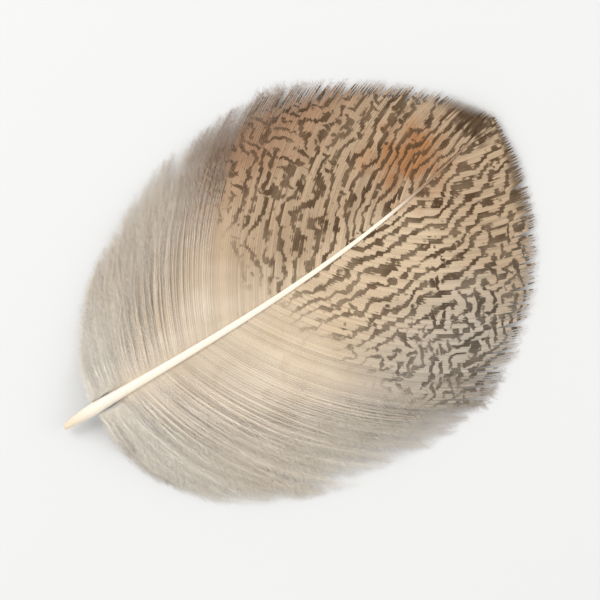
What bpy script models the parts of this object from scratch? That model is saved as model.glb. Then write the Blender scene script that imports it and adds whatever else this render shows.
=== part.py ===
"""A partridge body feather, lying with its outer side up on a level surface.

Metres, +Z up. +X runs from the quill to the tip and +Y is the feather's left. The shaft is one tapering
piece. On each side it carries down low on the shaft and a firm vane above it, and an afterfeather
grows from its underside. Every barb follows one rule: its root is on the shaft, and its tip is on an
egg-shaped outline, so a fan value from 0 at the quill to 1 at the tip places any of them.
"""

import math
import random

import bmesh
import bpy
from mathutils import Vector

# The feather's reach
LENGTH = 0.052  # end of the quill to the tip of the vane
LEFT_HALF_WIDTH = 0.0180
RIGHT_HALF_WIDTH = 0.0208
ARCH_HEIGHT = 0.0042  # how far the shaft rises over a straight line between its ends
QUILL_END_HEIGHT = 0.0014
TIP_HEIGHT = 0.0006
RIM_HEIGHT = 0.00004  # middle of the sheet along the rim, which is pressed on the surface
BOW = 0.20  # sideways bend of the shaft, to the right
BOW_SKEW = 1.4  # over 1 puts the deepest part of the bend past the middle

# Shaft
SHAFT_LENGTH = 0.0495
QUILL_RADIUS = 0.00062
QUILL_END_RADIUS = 0.00028
RACHIS_END_RADIUS = 0.00011
QUILL_WIDEST = 0.075  # share of the shaft's length
RACHIS_TAPER = 0.62  # under 1 is thin sooner than a straight taper
TIP_POINT = 0.006  # how far the closing point stands beyond the last ring, as a share of the length
RING_CROWDING = 1.25  # over 1 sets the rings closer at the quill
SHAFT_SIDES = 12
SHAFT_STATIONS = 28
PITH_HOLE_RADIUS = 0.00014  # the hole in the quill's cut end
PITH_HOLE_DEPTH = 0.0012

# Fan of barbs
FIRST_ROOT = 0.07  # shares of the length
LAST_ROOT = 0.945
ROOT_CROWDING = 2.22  # how much closer the roots stand at the quill than the tips do
OUTLINE_CENTRE = 0.5425
OUTLINE_REACH = 0.4575
LEFT_BASE_FULLNESS = 1.20  # under 1 is squarer than an ellipse, over 1 is more pointed
RIGHT_BASE_FULLNESS = 0.58
LEFT_TIP_FULLNESS = 1.65
RIGHT_TIP_FULLNESS = 0.95
BARB_BULGE = 0.17  # how far a barb bends out before it turns to the tip, as a share of its length
VANE_START = 0.58  # fan value where down gives way to vane
CANOPY_ROUNDNESS = 1.9  # how long the sheet stays level before it comes down to the rim
NARROWEST_CANOPY = 0.27  # the least share of the half width over which the sheet comes down
SEAM = 0.00012  # clear gap between neighbouring pieces

# Vanes
VANE_THICKNESS = 0.00042
VANE_STATIONS = 30
VANE_COLUMNS = 9
SPLITS = {"left_vane": ((6, 5), (15, 6), (22, 6)), "right_vane": ((4, 6), (12, 5), (19, 6), (24, 5))}
SPLIT_OPENING = 0.55  # share of a station's spacing that a split opens to at the rim
EDGE_RAGGEDNESS = 0.030
RIB_HEIGHT = 0.00007  # every other barb line stands this much proud

# Locks of down
LOCK_STATIONS = 6
LOCK_HALF_WIDTH = 0.00145
LOCK_HALF_THICKNESS = 0.00048
LOCK_END_THINNING = 0.55  # share of its thickness that a lock loses by its tip
LOCK_ROOT_WIDTH = 0.42  # share of the lock's full width
UPPER_LOCKS = 14
FIRST_LOCK = 0.09  # fan values of the upper layer's first and last locks
LAST_LOCK = 0.552
SHORTEST_UPPER_LOCK = 0.91  # shares of the way from shaft to outline
LOWER_LOCKS = 8
FIRST_LOWER_LOCK = 0.19
LAST_LOWER_LOCK = 0.512
LOWER_LOCK_REACH = 0.92
SHORTEST_LOWER_LOCK = 0.80
LOWER_LAYER_DROP = 0.0008
DROP_RAMP = 0.25  # share of a lock over which it sinks to the lower layer
LOWEST_SPREAD = 0.0002  # locks come to rest at heights that differ by up to this much
ROOT_BAND_HALF_WIDTH = 0.0010
ROOT_BAND_END_GAP = 0.012  # share of the length between the band's end and the vane's first root

# Afterfeather
AFTER_START = 0.105  # shares of the length
AFTER_END = 0.54
AFTER_HALF_WIDTH = 0.0078
AFTER_LOCKS = 8
AFTER_ROOT_DROP = 0.0013  # how far its root lies below the middle of the main shaft
AFTER_REST_HEIGHT = 0.0006
AFTER_SINKING = 2.2  # over 1 sinks most near the root
AFTER_SPINE_STATIONS = 10
AFTER_SPINE_HALF_WIDTH = 0.000924
AFTER_SPINE_HALF_THICKNESS = 0.00042
AFTER_LOCK_HALF_WIDTH = 0.00116
AFTER_LAST_ROOT = 0.82  # share of the spine's length
AFTER_FORWARD = (0.05, 0.15)  # how far the first and last locks sweep ahead, in shares of the length
AFTER_LOCK_END_HEIGHT = 0.00034

# Colours, as linear values
SHAFT_COLOUR = (0.93, 0.86, 0.72)
VANE_COLOUR = (0.52, 0.43, 0.33)
DOWN_COLOUR = (0.76, 0.70, 0.61)
SHARP_ANGLE = math.radians(40)

SMALLEST_BODY = 1e-10  # cubic metres; a pocket or crumb left between locks is smaller

LEFT = 1
RIGHT = -1


def clear_scene():
    for leftover in list(bpy.data.objects):
        bpy.data.objects.remove(leftover)


def material(name, colour, roughness):
    """A plain surface for one kind of piece."""
    made = bpy.data.materials.new(name)
    made.use_nodes = True
    shader = made.node_tree.nodes["Principled BSDF"]
    shader.inputs["Base Color"].default_value = (*colour, 1.0)
    shader.inputs["Roughness"].default_value = roughness
    shader.inputs["Metallic"].default_value = 0.0
    return made


def add_object(name, mesh_builder, surface):
    """A finished object, shaded smooth between its sharp edges."""
    mesh = bpy.data.meshes.new(name)
    bmesh.ops.recalc_face_normals(mesh_builder, faces=mesh_builder.faces)
    mesh_builder.to_mesh(mesh)
    mesh_builder.free()
    mesh.shade_smooth()
    mesh.set_sharp_from_angle(angle=SHARP_ANGLE)
    mesh.materials.append(surface)
    made = bpy.data.objects.new(name, mesh)
    bpy.context.scene.collection.objects.link(made)
    return made


def shaft_point(share):
    """Middle of the shaft at a share of the feather's whole length."""
    side = -BOW * LENGTH * share**BOW_SKEW * (1 - share)
    line = QUILL_END_HEIGHT * (1 - share) + TIP_HEIGHT * share
    return Vector((share * LENGTH, side, line + 4 * ARCH_HEIGHT * share * (1 - share)))


def shaft_radius(share):
    """The quill swells from its cut end and then tapers along the rachis."""
    along = share * LENGTH / SHAFT_LENGTH
    if along < QUILL_WIDEST:
        swell = math.sin(0.5 * math.pi * along / QUILL_WIDEST)
        return QUILL_END_RADIUS + (QUILL_RADIUS - QUILL_END_RADIUS) * swell
    taper = (min(along, 1.0) - QUILL_WIDEST) / (1 - QUILL_WIDEST)
    return QUILL_RADIUS + (RACHIS_END_RADIUS - QUILL_RADIUS) * taper**RACHIS_TAPER


def half_width(side):
    return LEFT_HALF_WIDTH if side == LEFT else RIGHT_HALF_WIDTH


def outline_reach(turn, side):
    """Distance of the outline from the shaft, by its turn from the tip (0) to the quill (pi)."""
    if turn > math.pi / 2:
        fullness = LEFT_BASE_FULLNESS if side == LEFT else RIGHT_BASE_FULLNESS
    else:
        fullness = LEFT_TIP_FULLNESS if side == LEFT else RIGHT_TIP_FULLNESS
    return half_width(side) * max(math.sin(turn), 0.0) ** fullness


def canopy_height(x, y):
    """Height of the barbs' sheet over a place: highest along the shaft, down at the rim."""
    share = min(max(x / LENGTH, 0.0), 1.0)
    middle = shaft_point(share)
    away = y - middle.y
    side = LEFT if away > 0 else RIGHT
    level = min(max((share - OUTLINE_CENTRE) / OUTLINE_REACH, -1.0), 1.0)
    reach = outline_reach(math.acos(level), side)
    least = NARROWEST_CANOPY * half_width(side)
    wide = (reach**4 + least**4) ** 0.25
    out = min(abs(away) / wide, 1.0)
    return RIM_HEIGHT + (middle.z - RIM_HEIGHT) * (1 - out**CANOPY_ROUNDNESS)


def barb_plan(fan, side, bulge=BARB_BULGE, root_gap=SEAM):
    """Root, bend and tip of a barb, seen from above."""
    share = FIRST_ROOT + (LAST_ROOT - FIRST_ROOT) * fan**ROOT_CROWDING
    on_shaft = shaft_point(share)
    clear = shaft_radius(share) + root_gap
    root = Vector((on_shaft.x, on_shaft.y + side * clear))
    turn = math.pi * (1 - fan)
    x = OUTLINE_CENTRE + OUTLINE_REACH * math.cos(turn)
    reach = outline_reach(turn, side)
    tip = Vector((x * LENGTH, shaft_point(x).y + side * (reach + SEAM)))
    run = tip - root
    outward = Vector((-run.y, run.x)) * side
    return root, root + 0.5 * run + bulge * outward, tip


def on_barb(plan, share):
    """A place on a barb seen from above, from 0 at its root to 1 at its tip."""
    root, bend, tip = plan
    return (1 - share) ** 2 * root + 2 * share * (1 - share) * bend + share**2 * tip


def build_shaft():
    """Quill and rachis: rings round the shaft's line, a closed tip, and a small hole in the quill."""
    builder = bmesh.new()
    rings = []
    last_share = SHAFT_LENGTH / LENGTH
    for station in range(SHAFT_STATIONS + 1):
        share = last_share * (station / SHAFT_STATIONS) ** RING_CROWDING
        rings.append(add_ring(builder, shaft_point(share), shaft_radius(share)))
    for first, second in zip(rings, rings[1:]):
        bridge(builder, first, second)
    end = builder.verts.new(shaft_point(last_share + TIP_POINT))
    close_to_point(builder, rings[-1], end)
    mouth = add_ring(builder, shaft_point(0.0), PITH_HOLE_RADIUS)
    bridge(builder, mouth, rings[0])
    depth = PITH_HOLE_DEPTH / LENGTH
    hole_end = add_ring(builder, shaft_point(depth), PITH_HOLE_RADIUS)
    bridge(builder, hole_end, mouth)
    bottom = builder.verts.new(shaft_point(depth + PITH_HOLE_RADIUS / LENGTH))
    close_to_point(builder, hole_end, bottom)
    return add_object("shaft", builder, material("shaft", SHAFT_COLOUR, 0.32))


def add_ring(builder, centre, radius):
    """A round ring that stands upright across the feather's length."""
    turns = (2 * math.pi * k / SHAFT_SIDES for k in range(SHAFT_SIDES))
    return [builder.verts.new(centre + radius * Vector((0, math.cos(a), math.sin(a)))) for a in turns]


def bridge(builder, first, second):
    """Faces between two rings of the same size."""
    count = len(first)
    for k in range(count):
        after = (k + 1) % count
        builder.faces.new((first[k], first[after], second[after], second[k]))


def close_to_point(builder, ring, point):
    for k in range(len(ring)):
        builder.faces.new((ring[k], ring[(k + 1) % len(ring)], point))


def build_vane(name, side, surface):
    """A firm vane: a sheet whose cross lines are barbs, parted by a few splits at the rim."""
    builder = bmesh.new()
    splits = dict(SPLITS[name])
    ragged = random.Random(name)
    lines = []
    for station in range(VANE_STATIONS + 1):
        fan = VANE_START + (1 - VANE_START) * station / VANE_STATIONS
        trim = 1 - EDGE_RAGGEDNESS * ragged.random() * (1 - station / VANE_STATIONS)
        lines.append(barb_line(builder, fan, side, trim, RIB_HEIGHT * (station % 2)))
    spacing = (1 - VANE_START) / VANE_STATIONS
    for station in range(VANE_STATIONS):
        first, second = lines[station], lines[station + 1]
        if station in splits:
            second = split_line(builder, second, station + 1, splits[station], spacing, side)
        for column in range(VANE_COLUMNS):
            corners = (first[column], first[column + 1], second[column + 1], second[column])
            builder.faces.new(corners)
    made = add_object(name, builder, surface)
    thicken = made.modifiers.new("Thickness", "SOLIDIFY")
    thicken.thickness = VANE_THICKNESS
    thicken.offset = 0
    return made


def barb_line(builder, fan, side, trim, rise):
    """Vertices along one barb of the vane, lifted a little over the sheet where the barb is a rib."""
    plan = barb_plan(fan, side)
    line = []
    for column in range(VANE_COLUMNS + 1):
        place = on_barb(plan, trim * column / VANE_COLUMNS)
        line.append(builder.verts.new((*place, canopy_height(*place) + rise)))
    return line


def split_line(builder, line, station, from_column, spacing, side):
    """The same barb line with its outer part drawn back towards the quill, which opens a split."""
    fan = VANE_START + spacing * station
    plan = barb_plan(fan - spacing * SPLIT_OPENING, side)
    parted = list(line)
    for column in range(from_column + 1, VANE_COLUMNS + 1):
        place = on_barb(plan, column / VANE_COLUMNS)
        parted[column] = builder.verts.new((*place, canopy_height(*place)))
    return parted


def add_lock(builder, middle_line, widest, half_thickness):
    """A tuft with a diamond section along a line of points, widest a third of the way to its tip."""
    rings = []
    count = len(middle_line) - 1
    for k, point in enumerate(middle_line[:-1]):
        share = k / count
        ahead = (middle_line[k + 1] - point).normalized()
        across = ahead.cross(Vector((0, 0, 1))).normalized()
        up = across.cross(ahead)
        fullness = math.sin(math.pi * min(share * 1.15 + 0.10, 1.0)) ** 0.8
        wide = widest * (LOCK_ROOT_WIDTH + (1 - LOCK_ROOT_WIDTH) * fullness)
        thick = half_thickness * (1 - LOCK_END_THINNING * share)
        offsets = (wide * across, thick * up, -wide * across, -thick * up)
        rings.append([builder.verts.new(point + offset) for offset in offsets])
    for first, second in zip(rings, rings[1:]):
        bridge(builder, first, second)
    builder.faces.new(rings[0])
    close_to_point(builder, rings[-1], builder.verts.new(middle_line[-1]))


def lock_line(fan, side, reach, drop, bulge, lowest):
    """Points along a lock of down, which follows a barb and comes no lower than lowest."""
    plan = barb_plan(fan, side, bulge, SEAM + ROOT_BAND_HALF_WIDTH)
    line = []
    for station in range(LOCK_STATIONS + 1):
        share = reach * station / LOCK_STATIONS
        place = on_barb(plan, share)
        ramp = min(share / DROP_RAMP, 1.0)
        height = canopy_height(*place) - drop * ramp
        line.append(Vector((*place, max(height, lowest))))
    return line


def add_root_band(builder, side):
    """The crowded roots beside the shaft, which every lock of this side grows out of."""
    last = FIRST_ROOT + (LAST_ROOT - FIRST_ROOT) * VANE_START**ROOT_CROWDING
    line = []
    for station in range(LOCK_STATIONS + 1):
        share = FIRST_ROOT + (last - ROOT_BAND_END_GAP - FIRST_ROOT) * station / LOCK_STATIONS
        centre = shaft_point(share)
        away = shaft_radius(share) + SEAM + ROOT_BAND_HALF_WIDTH
        line.append(centre + Vector((0, side * away, 0)))
    wide = Vector((0, ROOT_BAND_HALF_WIDTH, 0))
    thick = Vector((0, 0, LOCK_HALF_THICKNESS))
    rings = []
    for point in line:
        corners = (point + wide, point + thick, point - wide, point - thick)
        rings.append([builder.verts.new(corner) for corner in corners])
    for first, second in zip(rings, rings[1:]):
        bridge(builder, first, second)
    builder.faces.new(rings[0])
    builder.faces.new(rings[-1])


def build_down(name, side, surface):
    """Locks of down in two layers, joined to one body where they crowd at the shaft."""
    builder = bmesh.new()
    loose = random.Random(name)
    add_root_band(builder, side)
    for k in range(UPPER_LOCKS):
        along = k / (UPPER_LOCKS - 1)
        fan = FIRST_LOCK + (LAST_LOCK - FIRST_LOCK) * along
        reach = 1 - (1 - SHORTEST_UPPER_LOCK) * loose.random() * (1 - along)
        bulge = BARB_BULGE * loose.uniform(0.8, 1.2)
        lowest = RIM_HEIGHT + loose.uniform(0.0, LOWEST_SPREAD)
        line = lock_line(fan, side, reach, 0.0, bulge, lowest)
        add_lock(builder, line, LOCK_HALF_WIDTH, LOCK_HALF_THICKNESS)
    for k in range(LOWER_LOCKS):
        fan = FIRST_LOWER_LOCK + (LAST_LOWER_LOCK - FIRST_LOWER_LOCK) * k / (LOWER_LOCKS - 1)
        reach = LOWER_LOCK_REACH - (LOWER_LOCK_REACH - SHORTEST_LOWER_LOCK) * loose.random()
        bulge = BARB_BULGE * loose.uniform(0.7, 1.2)
        lowest = RIM_HEIGHT + loose.uniform(0.0, LOWEST_SPREAD)
        line = lock_line(fan, side, reach, LOWER_LAYER_DROP, bulge, lowest)
        add_lock(builder, line, LOCK_HALF_WIDTH, LOCK_HALF_THICKNESS)
    return add_object(name, builder, surface)


def build_afterfeather(surface):
    """A small plume under the shaft: a thin second shaft with locks of down that lie on the surface."""
    builder = bmesh.new()
    loose = random.Random("afterfeather")
    spine = [after_point(k / AFTER_SPINE_STATIONS) for k in range(AFTER_SPINE_STATIONS + 1)]
    add_lock(builder, spine, AFTER_SPINE_HALF_WIDTH, AFTER_SPINE_HALF_THICKNESS)
    nearest, farthest = AFTER_FORWARD
    for side in (LEFT, RIGHT):
        for k in range(AFTER_LOCKS):
            along = (k + 0.4) / AFTER_LOCKS
            root = after_point(AFTER_LAST_ROOT * along)
            plume = math.sin(math.pi * (0.14 + 0.70 * along))
            spread = AFTER_HALF_WIDTH * plume * (0.9 + 0.2 * loose.random())
            forward = LENGTH * (nearest + (farthest - nearest) * along)
            line = []
            for station in range(LOCK_STATIONS + 1):
                share = station / LOCK_STATIONS
                x = root.x + forward * share**1.4
                y = root.y + side * spread * share
                z = root.z + (AFTER_LOCK_END_HEIGHT - root.z) * share**0.7
                line.append(Vector((x, y, z)))
            add_lock(builder, line, AFTER_LOCK_HALF_WIDTH, LOCK_HALF_THICKNESS)
    return add_object("afterfeather", builder, surface)


def after_point(along):
    """Middle of the afterfeather's own thin shaft, which sinks from the quill to the surface."""
    above = shaft_point(AFTER_START + (AFTER_END - AFTER_START) * along)
    start = shaft_point(AFTER_START).z - AFTER_ROOT_DROP
    height = AFTER_REST_HEIGHT + (start - AFTER_REST_HEIGHT) * (1 - along) ** AFTER_SINKING
    return Vector((above.x, above.y, height))


def surface_cutter():
    """A block under the resting surface. What dips into it comes out pressed flat."""
    builder = bmesh.new()
    bmesh.ops.create_cube(builder, size=1.0)
    depth = 0.01
    bmesh.ops.scale(builder, vec=(3 * LENGTH, 3 * LENGTH, depth), verts=builder.verts)
    bmesh.ops.translate(builder, vec=(LENGTH / 2, 0, -depth / 2), verts=builder.verts)
    cutter = add_object("surface_cutter", builder, material("cutter", (0.5, 0.5, 0.5), 0.5))
    cutter.hide_render = True
    cutter.display_type = "WIRE"
    return cutter


def press_flat(target, cutter):
    """Cuts away what lies under the resting surface, and joins the object's own overlapping shapes."""
    cut = target.modifiers.new("Pressed flat", "BOOLEAN")
    cut.operation = "DIFFERENCE"
    cut.object = cutter
    cut.solver = "EXACT"
    cut.use_self = True
    bpy.context.view_layer.update()
    graph = bpy.context.evaluated_depsgraph_get()
    finished = bpy.data.meshes.new_from_object(target.evaluated_get(graph))
    target.modifiers.clear()
    builder = bmesh.new()
    builder.from_mesh(finished)
    bmesh.ops.triangulate(builder, faces=builder.faces)
    for shell in shells(builder):
        if signed_volume(shell) < SMALLEST_BODY:
            bmesh.ops.delete(builder, geom=shell, context="FACES")
    builder.to_mesh(finished)
    builder.free()
    finished.shade_smooth()
    finished.set_sharp_from_angle(angle=SHARP_ANGLE)
    target.data = finished


def shells(builder):
    """The mesh's faces, grouped by the surface that they join up to."""
    found = []
    unseen = set(builder.faces)
    while unseen:
        shell, to_visit = [], [unseen.pop()]
        while to_visit:
            face = to_visit.pop()
            shell.append(face)
            for edge in face.edges:
                for neighbour in edge.link_faces:
                    if neighbour in unseen:
                        unseen.remove(neighbour)
                        to_visit.append(neighbour)
        found.append(shell)
    return found


def signed_volume(shell):
    """Volume inside a closed surface of triangles, negative where the surface faces inwards."""
    total = 0.0
    for face in shell:
        a, b, c = (corner.co for corner in face.verts)
        total += a.dot(b.cross(c)) / 6
    return total


def shift_to_centre(pieces):
    """The move that centres the whole feather's box over the origin."""
    bpy.context.view_layer.update()
    graph = bpy.context.evaluated_depsgraph_get()
    corners = []
    for piece in pieces:
        whole = piece.evaluated_get(graph)
        corners += [whole.matrix_world @ Vector(corner) for corner in whole.bound_box]
    middle_x = (min(c.x for c in corners) + max(c.x for c in corners)) / 2
    middle_y = (min(c.y for c in corners) + max(c.y for c in corners)) / 2
    return Vector((-middle_x, -middle_y, 0))


def main():
    clear_scene()
    vane_surface = material("vane", VANE_COLOUR, 0.7)
    down_surface = material("down", DOWN_COLOUR, 0.85)
    cutter = surface_cutter()
    pieces = [
        build_shaft(),
        build_vane("left_vane", LEFT, vane_surface),
        build_vane("right_vane", RIGHT, vane_surface),
        build_down("left_down", LEFT, down_surface),
        build_down("right_down", RIGHT, down_surface),
        build_afterfeather(down_surface),
    ]
    for piece in pieces[1:]:
        press_flat(piece, cutter)
    shift = shift_to_centre(pieces)
    for thing in [*pieces, cutter]:
        thing.location = shift


main()
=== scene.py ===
# %% [markdown]
# # A partridge hackle feather
#
# This lesson builds one small body feather, about as long as a little finger, that lies on a pale table
# with its outer side up. It starts from a solid model, the frame, which has the right size and outline
# but smooth sheets and thick tufts where the real feather has barbs. The cells below grow those barbs.
#
# A feather is one idea repeated: a shaft carries barbs, and each barb carries barbules. High on the
# shaft the barbules hook together and make a firm vane. Low on the shaft they hang loose and make down.
# So the lesson writes down one rule for where a barb runs, and then lets Geometry Nodes dress every barb.

import math
from functools import partialmethod

import bmesh
import bpy
import numpy as np
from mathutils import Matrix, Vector


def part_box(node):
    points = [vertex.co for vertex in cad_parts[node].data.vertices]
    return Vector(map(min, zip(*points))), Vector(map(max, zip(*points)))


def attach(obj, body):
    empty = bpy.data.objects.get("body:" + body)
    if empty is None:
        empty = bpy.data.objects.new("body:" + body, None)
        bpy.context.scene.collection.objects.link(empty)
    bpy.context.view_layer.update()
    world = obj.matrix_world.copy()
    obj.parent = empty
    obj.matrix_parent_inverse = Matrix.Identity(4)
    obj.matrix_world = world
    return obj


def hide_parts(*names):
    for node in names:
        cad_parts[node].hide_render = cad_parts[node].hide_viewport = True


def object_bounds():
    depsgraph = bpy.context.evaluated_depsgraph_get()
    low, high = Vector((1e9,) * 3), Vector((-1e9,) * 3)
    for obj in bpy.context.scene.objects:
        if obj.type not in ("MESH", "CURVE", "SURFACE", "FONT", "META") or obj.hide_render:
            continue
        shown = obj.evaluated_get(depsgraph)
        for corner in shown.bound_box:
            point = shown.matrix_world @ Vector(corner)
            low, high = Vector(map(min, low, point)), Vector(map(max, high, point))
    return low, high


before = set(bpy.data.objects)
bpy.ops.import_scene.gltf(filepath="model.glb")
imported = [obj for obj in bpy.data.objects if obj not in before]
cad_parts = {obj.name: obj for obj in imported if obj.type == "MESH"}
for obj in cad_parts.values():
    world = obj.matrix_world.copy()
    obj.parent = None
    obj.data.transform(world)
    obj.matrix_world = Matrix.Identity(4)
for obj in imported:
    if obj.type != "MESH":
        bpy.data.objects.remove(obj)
cad_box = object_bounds()
shaft_low, shaft_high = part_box("shaft")
MM = 0.001
print("frame nodes:", sorted(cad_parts))

# %% [markdown]
# ## The shaft's line and thickness
#
# Seen from above, the shaft is a shallow bow. It starts as a round quill, is thickest just past its cut
# end, and tapers to a hair before it reaches the feather's tip. Everything is written as a share of the
# feather's length, 0 at the quill's end and 1 at the tip, and works on whole arrays of shares at once.
#
# These are the rules that the solid model was made by, so the barbs lie where its solids are. Only the
# length and the place of the quill's end are taken from the frame.

# %% Shaft rules
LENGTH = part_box("right_vane")[1].x - shaft_low.x
SHAFT_LENGTH = 49.5 * MM
BOW = 0.20
BOW_SKEW = 1.4
ARCH_HEIGHT = 4.2 * MM
QUILL_END_HEIGHT = 1.4 * MM
TIP_HEIGHT = 0.6 * MM
QUILL_END_RADIUS = 0.28 * MM
QUILL_RADIUS = 0.62 * MM
RACHIS_END_RADIUS = 0.11 * MM
QUILL_WIDEST = 0.075  # share of the shaft's length
RACHIS_TAPER = 0.62  # under 1 is thin sooner than a straight taper


def bow_line(share):
    """Sideways place of the shaft, before the feather is centred."""
    held = np.clip(share, 0, 1)
    return -BOW * LENGTH * held**BOW_SKEW * (1 - held)


def shaft_height(share):
    line = QUILL_END_HEIGHT * (1 - share) + TIP_HEIGHT * share
    return line + 4 * ARCH_HEIGHT * share * (1 - share)


def shaft_radius(share):
    along = np.asarray(share) * LENGTH / SHAFT_LENGTH
    swell = np.sin(0.5 * np.pi * np.clip(along / QUILL_WIDEST, 0, 1))
    quill = QUILL_END_RADIUS + (QUILL_RADIUS - QUILL_END_RADIUS) * swell
    taper = np.clip((along - QUILL_WIDEST) / (1 - QUILL_WIDEST), 0, 1) ** RACHIS_TAPER
    return np.where(along < QUILL_WIDEST, quill, QUILL_RADIUS + (RACHIS_END_RADIUS - QUILL_RADIUS) * taper)


probe = np.linspace(0, 1, 400)
shift_x = shaft_low.x
shift_y = shaft_high.y - float((bow_line(probe) + shaft_radius(probe)).max())
print(f"length {LENGTH / MM:.1f} mm, moved by {shift_x / MM:.2f} and {shift_y / MM:.2f} mm to be centred")

# %% [markdown]
# ## The outline, and the rule that places every barb
#
# A barb's root is on the shaft and its tip is on the feather's egg-shaped outline, which is squarer to
# the right of the quill and more pointed to the left of the tip. One number, the fan value, runs from 0
# at the quill to 1 at the tip and gives both ends. Between them a barb is a quadratic Bezier curve, so
# it leaves the shaft steeply and then turns towards the tip, as real barbs do.

# %% Outline and barbs in plan
SIDES = {"left": 1, "right": -1}
HALF_WIDTH = {1: 18.0 * MM, -1: 20.8 * MM}
BASE_FULLNESS = {1: 1.20, -1: 0.58}  # under 1 is squarer than an ellipse, over 1 more pointed
TIP_FULLNESS = {1: 1.65, -1: 0.95}
OUTLINE_CENTRE = 0.5425
OUTLINE_REACH = 0.4575
FIRST_ROOT = 0.07
LAST_ROOT = 0.945
ROOT_CROWDING = 2.22
ROOT_DEPTH = 0.9  # where in the shaft a root sits, as a share of the shaft's radius
BARB_BULGE = 0.17


def outline_reach(turn, side):
    """How far the outline is from the shaft, by its turn from the tip (0) to the quill (pi)."""
    fullness = np.where(turn > np.pi / 2, BASE_FULLNESS[side], TIP_FULLNESS[side])
    return HALF_WIDTH[side] * np.clip(np.sin(turn), 0, 1) ** fullness


def barb_plan(fan, side, share, bulge=BARB_BULGE):
    """Plan places of many barbs: fan has a row for each barb, share a column for each point."""
    root_share = FIRST_ROOT + (LAST_ROOT - FIRST_ROOT) * fan**ROOT_CROWDING
    root_x = root_share * LENGTH
    root_y = bow_line(root_share) + side * ROOT_DEPTH * shaft_radius(root_share)
    turn = np.pi * (1 - fan)
    tip_share = OUTLINE_CENTRE + OUTLINE_REACH * np.cos(turn)
    tip_x = tip_share * LENGTH
    tip_y = bow_line(tip_share) + side * outline_reach(turn, side)
    bend_x = (root_x + tip_x) / 2 - bulge * side * (tip_y - root_y)
    bend_y = (root_y + tip_y) / 2 + bulge * side * (tip_x - root_x)
    back = 1 - share
    x = back**2 * root_x + 2 * share * back * bend_x + share**2 * tip_x
    y = back**2 * root_y + 2 * share * back * bend_y + share**2 * tip_y
    return x + shift_x, y + shift_y


print(f"outline {HALF_WIDTH[1] / MM:.1f} mm wide on the left and {HALF_WIDTH[-1] / MM:.1f} mm on the right")

# %% [markdown]
# ## The canopy
#
# A body feather is cupped: its shaft arches, and both sides come down from it to the table. The canopy
# is that surface as a height over every place in plan. Barbs are laid on it, and their up direction is
# the canopy's own, which comes from the slope between close neighbours.

# %% Canopy height and slope
RIM_HEIGHT = 0.04 * MM
NARROWEST_CANOPY = 0.27
CANOPY_ROUNDNESS = 1.9  # how long the canopy stays level before it comes down to the rim
NEXT_TO = 0.05 * MM


def away_from_shaft(x, y):
    """Signed distance from the shaft's line, positive to the feather's left."""
    return y - shift_y - bow_line((x - shift_x) / LENGTH)


def canopy_height(x, y):
    share = np.clip((x - shift_x) / LENGTH, 0, 1)
    away = away_from_shaft(x, y)
    turn = np.arccos(np.clip((share - OUTLINE_CENTRE) / OUTLINE_REACH, -1, 1))
    middle = shaft_height(share)
    height = middle
    for side in SIDES.values():
        least = NARROWEST_CANOPY * HALF_WIDTH[side]
        wide = (outline_reach(turn, side) ** 4 + least**4) ** 0.25
        out = np.clip(np.abs(away) / wide, 0, 1)
        sloped = RIM_HEIGHT + (middle - RIM_HEIGHT) * (1 - out**CANOPY_ROUNDNESS)
        height = np.where(np.sign(away) == side, sloped, height)
    return height


def of_length_one(vectors):
    return vectors / np.linalg.norm(vectors, axis=-1, keepdims=True)


def square_to(way, vectors):
    """What is left of the vectors when their share along a way of length one is taken off."""
    return vectors - (vectors * way).sum(-1, keepdims=True) * way


def canopy_normal(x, y):
    slope_x = canopy_height(x + NEXT_TO, y) - canopy_height(x - NEXT_TO, y)
    slope_y = canopy_height(x, y + NEXT_TO) - canopy_height(x, y - NEXT_TO)
    return of_length_one(np.stack([-slope_x, -slope_y, np.full_like(slope_x, 2 * NEXT_TO)], axis=-1))


print(f"canopy {float(shaft_height(probe).max()) / MM:.1f} mm high at the most")

# %% [markdown]
# ## Guide lines
#
# A guide is only the middle line of a barb. All guides of one piece are kept in one mesh of edges. What
# the node tree and the material need to know travels on its points as attributes: how far along the
# barb and how far from the shaft the point is, how wide the barb is there, and a random number that is
# the barb's own.


# %% Guide lines as one mesh
def guide_mesh(name, points, facts, up, rows):
    """points and facts have a row for each barb and a column for each of its points. rows are those kept."""
    facts = {label: np.broadcast_to(values, points.shape[:2])[rows] for label, values in facts.items()}
    points = points[rows]
    barbs, count, _ = points.shape
    mesh = bpy.data.meshes.new(name)
    first = (np.arange(barbs)[:, None] * count + np.arange(count - 1)).ravel()
    mesh.from_pydata(points.reshape(-1, 3).tolist(), np.stack([first, first + 1], 1).tolist(), [])
    step = np.linalg.norm(np.diff(points, axis=1), axis=-1)
    facts["run"] = np.concatenate([np.zeros((barbs, 1)), np.cumsum(step, axis=1)], axis=1) / MM
    facts["away"] = away_from_shaft(points[..., 0], points[..., 1]) / MM
    for label, values in facts.items():
        kept = mesh.attributes.new(label, "FLOAT", "POINT")
        kept.data.foreach_set("value", values.astype(np.float32).ravel())
    if up is not None:
        up = square_to(of_length_one(np.gradient(points, axis=1)), up)
        kept = mesh.attributes.new("up", "FLOAT_VECTOR", "POINT")
        kept.data.foreach_set("vector", up.astype(np.float32).ravel())
    return mesh


def smooth_step(value):
    held = np.clip(value, 0, 1)
    return held * held * (3 - 2 * held)


# %% [markdown]
# ## Building a node tree in code
#
# Nodes could be added and linked one call at a time, which is long to read. Here a small class, the
# wire, stands for what a node gives. Wires can be added and multiplied like numbers, and every sign puts
# the matching node in the tree. A helper adds any other node and fills its sockets: a wire is linked,
# and a plain value is typed in. The same helpers serve the geometry trees and the materials.


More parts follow.
